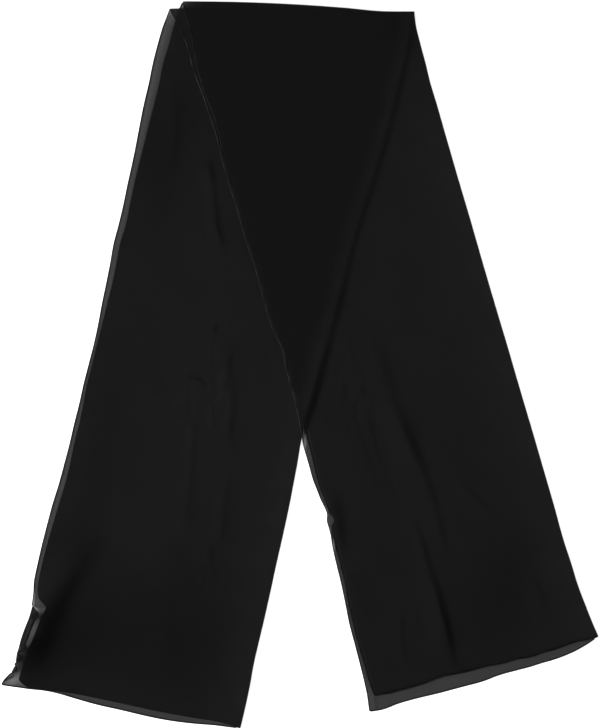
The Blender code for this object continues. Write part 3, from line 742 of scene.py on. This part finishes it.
# %% Hem path along a sheet's edge
HEM_HALF_WIDTH = 0.85
HEM_HALF_HEIGHT = 0.58
HEM_STEP = 1.3
HEM_INSET = 0.4
HEM_SIDES = 8
STITCH = 2.6
STITCH_NIP = 0.10


def edge_path(places):
    end, side = places[0, ::-1], places[:, 0]
    normals = np.cross(np.gradient(places, axis=1), np.gradient(places, axis=0))
    normals /= np.linalg.norm(normals, axis=-1, keepdims=True)
    points = np.vstack([end, side[1:]])
    facing = np.vstack([normals[0, ::-1], normals[1:, 0]])
    length = np.concatenate([[0], np.cumsum(np.linalg.norm(np.diff(points, axis=0), axis=1))])
    even = np.linspace(0, length[-1], int(length[-1] / HEM_STEP) + 1)
    path = np.stack([np.interp(even, length, points[:, k]) for k in range(3)], 1)
    facing = np.stack([np.interp(even, length, facing[:, k]) for k in range(3)], 1)
    for _ in range(2):
        path[1:-1] = (path[:-2] + 2 * path[1:-1] + path[2:]) / 4
    return path, facing / np.linalg.norm(facing, axis=1, keepdims=True), even


print("front upper hem, mm:", round(float(edge_path(outer_places["front_upper"])[2][-1])))

# %% Hem maker
# Patch rows of painted highlight on stretches of hem that catch the light, and one darker stretch near the top
# left.
HEM_HIGHLIGHT_AND_DARK_PATCHES = [
    (-160.0, 438.0, 30.0, 14.0, -60.0, -0.9),
    (-2.0, -50.0, 40.0, 10.0, -72.0, 0.25),
    (-120.0, 345.0, 30.0, 12.0, -72.0, 0.3),
    (36.0, -190.0, 34.0, 12.0, -80.0, 0.4),
]


def make_hem(name, places, tone_and_painted_light):
    path, facing, along = edge_path(places)
    tangent = np.gradient(path, axis=0)
    tangent /= np.linalg.norm(tangent, axis=1, keepdims=True)
    outward = np.cross(tangent, facing)
    tube = bmesh.new()
    bmesh.ops.create_grid(tube, x_segments=HEM_SIDES, y_segments=len(path) - 1, size=0.5)
    uv = tube.loops.layers.uv.new("cloth")
    for face in tube.faces:
        face.smooth = True
        for loop in face.loops:
            row = round((loop.vert.co.y + 0.5) * (len(path) - 1))
            loop[uv].uv = (loop.vert.co.x + 0.5, along[row] * MM)
    for vert in tube.verts:
        row = round((vert.co.y + 0.5) * (len(path) - 1))
        turn = 2 * math.pi * (vert.co.x + 0.5)
        nip = 1 - STITCH_NIP * (0.5 + 0.5 * math.cos(2 * math.pi * along[row] / STITCH))
        place = (path[row] + outward[row] * (HEM_HALF_WIDTH * nip * math.cos(turn) - HEM_INSET)
                 + facing[row] * HEM_HALF_HEIGHT * nip * math.sin(turn))
        vert.co = Vector((place - TABLE_MIDDLE) * MM)
    bmesh.ops.remove_doubles(tube, verts=tube.verts, dist=1e-7)
    bmesh.ops.holes_fill(tube, edges=[e for e in tube.edges if e.is_boundary], sides=HEM_SIDES)
    bmesh.ops.recalc_face_normals(tube, faces=tube.faces)
    mesh = bpy.data.meshes.new(name)
    tube.to_mesh(mesh)
    tube.free()
    # This attribute holds the hem's painted highlight or darkening.
    store = mesh.attributes.new("tone_and_painted_light", "FLOAT", "POINT")
    spots = np.array([vert.co[:2] for vert in mesh.vertices]) / MM
    store.data.foreach_set("value", (tone_and_painted_light + patches(HEM_HIGHLIGHT_AND_DARK_PATCHES, spots[:, 0], spots[:, 1])).astype(np.float32))
    hem = bpy.data.objects.new(name, mesh)
    bpy.context.scene.collection.objects.link(hem)
    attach(hem, "root")
    return hem


# The front lower hem gets a painted highlight, where it catches the light from the left; the other three are
# darker.
hems = {
    "front_upper": make_hem("front_upper_rolled_hem", outer_places["front_upper"], -0.3),
    "front_lower": make_hem("front_lower_rolled_hem", inner_grids["front_lower"], 0.75),
    "back_upper": make_hem("back_upper_rolled_hem", inner_grids["back_upper"], -0.2),
    "back_lower": make_hem("back_lower_rolled_hem", outer_places["back_lower"], -0.5),
}
print("hem faces:", {name: len(hem.data.polygons) for name, hem in hems.items()})

# %% [markdown]
# ## The cut of the cloth
#
# Each stretch was cut 300 mm wide, which is half of the panel, and 900 mm long.

# %% Cloth facts
print("cut of the whole panel: 0.60 by 1.80 m")

# %% [markdown]
# ## The weave
#
# Chiffon is a plain weave of fine, hard-twisted threads with open holes between them. A shader node group
# makes the over-and-under pattern once, from the cloth's own UV map in metres. It puts out how much of each
# spot is covered by thread, and a height for the bump.

# %% Weave node group
def weave_group():
    group = bpy.data.node_groups.new("chiffon_weave", "ShaderNodeTree")
    group.interface.new_socket("Vector", in_out="INPUT", socket_type="NodeSocketVector")
    group.interface.new_socket("Threads per metre", in_out="INPUT", socket_type="NodeSocketFloat")
    group.interface.new_socket("Crepe", in_out="INPUT", socket_type="NodeSocketFloat")
    group.interface.new_socket("Cover", in_out="OUTPUT", socket_type="NodeSocketFloat")
    group.interface.new_socket("Height", in_out="OUTPUT", socket_type="NodeSocketFloat")
    nodes, links = group.nodes, group.links
    entry, leave = nodes.new("NodeGroupInput"), nodes.new("NodeGroupOutput")

    def math_node(kind, a, b=None):
        node = nodes.new("ShaderNodeMath")
        node.operation = kind
        for socket, value in zip(node.inputs, (a, b)):
            if isinstance(value, (int, float)):
                socket.default_value = value
            elif value is not None:
                links.new(value, socket)
        return node.outputs[0]

    wobble = nodes.new("ShaderNodeTexNoise")
    wobble.inputs["Scale"].default_value = 90.0
    wobble.inputs["Detail"].default_value = 2.0
    links.new(entry.outputs["Vector"], wobble.inputs["Vector"])
    axes = nodes.new("ShaderNodeSeparateXYZ")
    links.new(entry.outputs["Vector"], axes.inputs[0])
    shift = math_node("MULTIPLY", wobble.outputs["Fac"], 0.004)
    turns = math_node("MULTIPLY", entry.outputs["Threads per metre"], 2 * math.pi)
    across = math_node("SINE", math_node("MULTIPLY", math_node("ADD", axes.outputs["X"], shift), turns))
    along = math_node("SINE", math_node("MULTIPLY", math_node("ADD", axes.outputs["Y"], shift), turns))
    product = math_node("MULTIPLY", across, along)
    crest = math_node("MAXIMUM", math_node("ABSOLUTE", across), math_node("ABSOLUTE", along))
    grain = nodes.new("ShaderNodeTexNoise")
    grain.inputs["Scale"].default_value = 900.0
    grain.inputs["Detail"].default_value = 3.0
    links.new(entry.outputs["Vector"], grain.inputs["Vector"])
    crepe = math_node("MULTIPLY", math_node("SUBTRACT", grain.outputs["Fac"], 0.5), entry.outputs["Crepe"])
    links.new(math_node("ADD", crest, crepe), leave.inputs["Cover"])
    links.new(math_node("ADD", math_node("MULTIPLY", product, 0.5), crepe), leave.inputs["Height"])
    return group


weave = weave_group()
print("weave group outputs:", [item.name for item in weave.interface.items_tree if item.in_out == "OUTPUT"])

# %% [markdown]
# ## Sheer black cloth
#
# One layer lets about a seventh of the light straight through its holes and swallows the rest. A layer is a
# thin closed shell, so light crosses two faces of it, and each face is given the alpha that makes the pair
# right. Over a white table the light goes down through the cloth and up again: one layer looks dark grey,
# two look black. That is why the margins, where only one layer lies, show as a grey line. The hems are rolled
# cloth, too thick to see through, and their stitches show as faint bands.

# %% Chiffon material
FACE_COVER = 0.635


def cloth_nodes(name):
    material = bpy.data.materials.new(name)
    material.use_nodes = True
    nodes, links = material.node_tree.nodes, material.node_tree.links
    shader = nodes["Principled BSDF"]
    place = nodes.new("ShaderNodeUVMap")
    place.uv_map = "cloth"
    return material, nodes, links, shader, place


def chiffon_material():
    material, nodes, links, shader, place = cloth_nodes("black_silk_chiffon")
    threads = nodes.new("ShaderNodeGroup")
    threads.node_tree = weave
    threads.inputs["Threads per metre"].default_value = 1150.0
    threads.inputs["Crepe"].default_value = 0.5
    links.new(place.outputs["UV"], threads.inputs["Vector"])

    cover = nodes.new("ShaderNodeMapRange")
    cover.inputs["From Min"].default_value = 0.2
    cover.inputs["From Max"].default_value = 1.2
    cover.inputs["To Min"].default_value = FACE_COVER - 0.16
    cover.inputs["To Max"].default_value = FACE_COVER + 0.09
    links.new(threads.outputs["Cover"], cover.inputs["Value"])
    # This attribute adds cover: painted shade on the margins, and more or less cover on the turned strip and
    # bunched cloth.
    cover_and_shade = nodes.new("ShaderNodeAttribute")
    cover_and_shade.attribute_name = "cover_and_painted_shade"
    total = nodes.new("ShaderNodeMath")
    total.operation = "ADD"
    total.use_clamp = True
    links.new(cover.outputs["Result"], total.inputs[0])
    links.new(cover_and_shade.outputs["Fac"], total.inputs[1])
    links.new(total.outputs["Value"], shader.inputs["Alpha"])

    mottle = nodes.new("ShaderNodeTexNoise")
    mottle.inputs["Scale"].default_value = 26.0
    mottle.inputs["Detail"].default_value = 3.0
    mottle.inputs["Distortion"].default_value = 1.6
    links.new(place.outputs["UV"], mottle.inputs["Vector"])
    tint = nodes.new("ShaderNodeMix")
    tint.data_type = "RGBA"
    tint.inputs["A"].default_value = (0.0036, 0.0036, 0.0036, 1)
    tint.inputs["B"].default_value = (0.0062, 0.0062, 0.0062, 1)
    links.new(mottle.outputs["Fac"], tint.inputs["Factor"])
    # This attribute scales the thread colour: painted shade and painted highlight on creases, folds and where four
    # layers lie, with broad tone.
    tone_and_painted_light = nodes.new("ShaderNodeAttribute")
    tone_and_painted_light.attribute_name = "tone_and_painted_light"
    lift = nodes.new("ShaderNodeMath")
    lift.operation = "MULTIPLY_ADD"
    lift.inputs[1].default_value = 1.0
    lift.inputs[2].default_value = 1.0
    links.new(tone_and_painted_light.outputs["Fac"], lift.inputs[0])
    toned = nodes.new("ShaderNodeVectorMath")
    toned.operation = "SCALE"
    links.new(tint.outputs["Result"], toned.inputs[0])
    links.new(lift.outputs["Value"], toned.inputs["Scale"])
    links.new(toned.outputs["Vector"], shader.inputs["Base Color"])

    wrinkles = nodes.new("ShaderNodeTexNoise")
    wrinkles.inputs["Scale"].default_value = 75.0
    wrinkles.inputs["Detail"].default_value = 2.0
    wrinkles.inputs["Distortion"].default_value = 0.8
    links.new(place.outputs["UV"], wrinkles.inputs["Vector"])
    rippled = nodes.new("ShaderNodeAttribute")
    rippled.attribute_name = "ripples"
    wrinkled = nodes.new("ShaderNodeMath")
    wrinkled.operation = "MULTIPLY"
    links.new(wrinkles.outputs["Fac"], wrinkled.inputs[0])
    links.new(rippled.outputs["Fac"], wrinkled.inputs[1])
    crush = nodes.new("ShaderNodeBump")
    crush.inputs["Strength"].default_value = 1.0
    crush.inputs["Distance"].default_value = 0.0030
    links.new(wrinkled.outputs["Value"], crush.inputs["Height"])
    bump = nodes.new("ShaderNodeBump")
    bump.inputs["Strength"].default_value = 0.18
    bump.inputs["Distance"].default_value = 0.0002
    links.new(threads.outputs["Height"], bump.inputs["Height"])
    links.new(crush.outputs["Normal"], bump.inputs["Normal"])
    links.new(bump.outputs["Normal"], shader.inputs["Normal"])
    shader.inputs["Roughness"].default_value = 0.55
    shader.inputs["Specular IOR Level"].default_value = 0.015
    shader.inputs["Sheen Weight"].default_value = 0.003
    shader.inputs["Sheen Roughness"].default_value = 0.35
    return material


def hem_material():
    material, nodes, links, shader, place = cloth_nodes("rolled_hem_chiffon")
    stitches = nodes.new("ShaderNodeTexWave")
    stitches.wave_type = "BANDS"
    stitches.bands_direction = "DIAGONAL"
    stitches.inputs["Scale"].default_value = 1.0
    stitches.inputs["Distortion"].default_value = 0.6
    stitches.inputs["Detail"].default_value = 1.0
    spread = nodes.new("ShaderNodeMapping")
    spread.inputs["Scale"].default_value = (1.0, 190.0, 1.0)
    links.new(place.outputs["UV"], spread.inputs["Vector"])
    links.new(spread.outputs["Vector"], stitches.inputs["Vector"])
    tint = nodes.new("ShaderNodeMix")
    tint.data_type = "RGBA"
    tint.inputs["A"].default_value = (0.002, 0.002, 0.002, 1)
    tint.inputs["B"].default_value = (0.007, 0.007, 0.007, 1)
    links.new(stitches.outputs["Fac"], tint.inputs["Factor"])
    # Noise along the hem breaks the painted highlight into pieces, lighter in some and darker in others.
    uneven = nodes.new("ShaderNodeTexNoise")
    uneven.inputs["Scale"].default_value = 1.0
    uneven.inputs["Detail"].default_value = 3.0
    stretch = nodes.new("ShaderNodeMapping")
    stretch.inputs["Scale"].default_value = (0.4, 85.0, 1.0)
    links.new(place.outputs["UV"], stretch.inputs["Vector"])
    links.new(stretch.outputs["Vector"], uneven.inputs["Vector"])
    broken_painted_highlight = nodes.new("ShaderNodeMapRange")
    broken_painted_highlight.inputs["From Min"].default_value = 0.38
    broken_painted_highlight.inputs["From Max"].default_value = 0.62
    broken_painted_highlight.inputs["To Min"].default_value = 0.25
    broken_painted_highlight.inputs["To Max"].default_value = 1.5
    links.new(uneven.outputs["Fac"], broken_painted_highlight.inputs["Value"])
    # This attribute carries each hem's painted highlight or darkening.
    tone_and_painted_light = nodes.new("ShaderNodeAttribute")
    tone_and_painted_light.attribute_name = "tone_and_painted_light"
    lift = nodes.new("ShaderNodeMath")
    lift.operation = "ADD"
    lift.inputs[1].default_value = 1.0
    links.new(tone_and_painted_light.outputs["Fac"], lift.inputs[0])
    amount = nodes.new("ShaderNodeMath")
    amount.operation = "MULTIPLY"
    links.new(lift.outputs["Value"], amount.inputs[0])
    links.new(broken_painted_highlight.outputs["Result"], amount.inputs[1])
    toned = nodes.new("ShaderNodeVectorMath")
    toned.operation = "SCALE"
    links.new(tint.outputs["Result"], toned.inputs[0])
    links.new(amount.outputs["Value"], toned.inputs["Scale"])
    links.new(toned.outputs["Vector"], shader.inputs["Base Color"])
    bump = nodes.new("ShaderNodeBump")
    bump.inputs["Strength"].default_value = 0.3
    bump.inputs["Distance"].default_value = 0.0002
    links.new(stitches.outputs["Fac"], bump.inputs["Height"])
    links.new(bump.outputs["Normal"], shader.inputs["Normal"])
    shader.inputs["Roughness"].default_value = 0.5
    shader.inputs["Specular IOR Level"].default_value = 0.02
    shader.inputs["Sheen Weight"].default_value = 0.004
    return material


chiffon, hem_cloth = chiffon_material(), hem_material()
for piece in sheets:
    piece.data.materials.append(chiffon)
for hem in hems.values():
    hem.data.materials.append(hem_cloth)
print("materials:", chiffon.name, hem_cloth.name)

# %% [markdown]
# ## Table and light
#
# The scarf lies on a plain white surface. A soft light low on the left gives each crease a light flank on the
# left and a dark one on the right. Another soft light from above and an even sky fill in the rest. Light that
# passes several sheer layers meets many transparent faces, so the limit on them is raised.

# %% Table, light and sky
TABLE_HALF_SIZE = 4.0
MOST_CLEAR_FACES = 40

floor_form = bmesh.new()
bmesh.ops.create_grid(floor_form, x_segments=1, y_segments=1, size=TABLE_HALF_SIZE)
floor_mesh = bpy.data.meshes.new("white_table")
floor_form.to_mesh(floor_mesh)
floor_form.free()
table = bpy.data.objects.new("white_table", floor_mesh)
bpy.context.scene.collection.objects.link(table)
table_paint = bpy.data.materials.new("white_table_paint")
table_paint.use_nodes = True
paint = table_paint.node_tree.nodes["Principled BSDF"]
paint.inputs["Base Color"].default_value = (0.86, 0.86, 0.86, 1)
paint.inputs["Roughness"].default_value = 0.9
paint.inputs["Specular IOR Level"].default_value = 0.1
table.data.materials.append(table_paint)


def soft_light(name, place, target, size, power):
    light = bpy.data.lights.new(name, "AREA")
    light.shape = "SQUARE"
    light.size = size
    light.energy = power
    lamp = bpy.data.objects.new(name, light)
    lamp.location = place
    lamp.rotation_euler = (Vector(target) - Vector(place)).to_track_quat("-Z", "Y").to_euler()
    bpy.context.scene.collection.objects.link(lamp)
    return lamp


soft_light("left_softbox", (-3.3, -0.5, 1.25), (0, 0, 0), 1.0, 290)
soft_light("overhead_softbox", (0.3, 0.2, 5.5), (0, 0, 0), 2.5, 240)
sky = bpy.data.worlds.new("studio_sky")
sky.use_nodes = True
sky.node_tree.nodes["Background"].inputs["Color"].default_value = (1, 1, 1, 1)
sky.node_tree.nodes["Background"].inputs["Strength"].default_value = 0.5
bpy.context.scene.world = sky
bpy.context.scene.view_settings.view_transform = "Standard"
bpy.context.scene.cycles.transparent_max_bounces = MOST_CLEAR_FACES
print("light set")
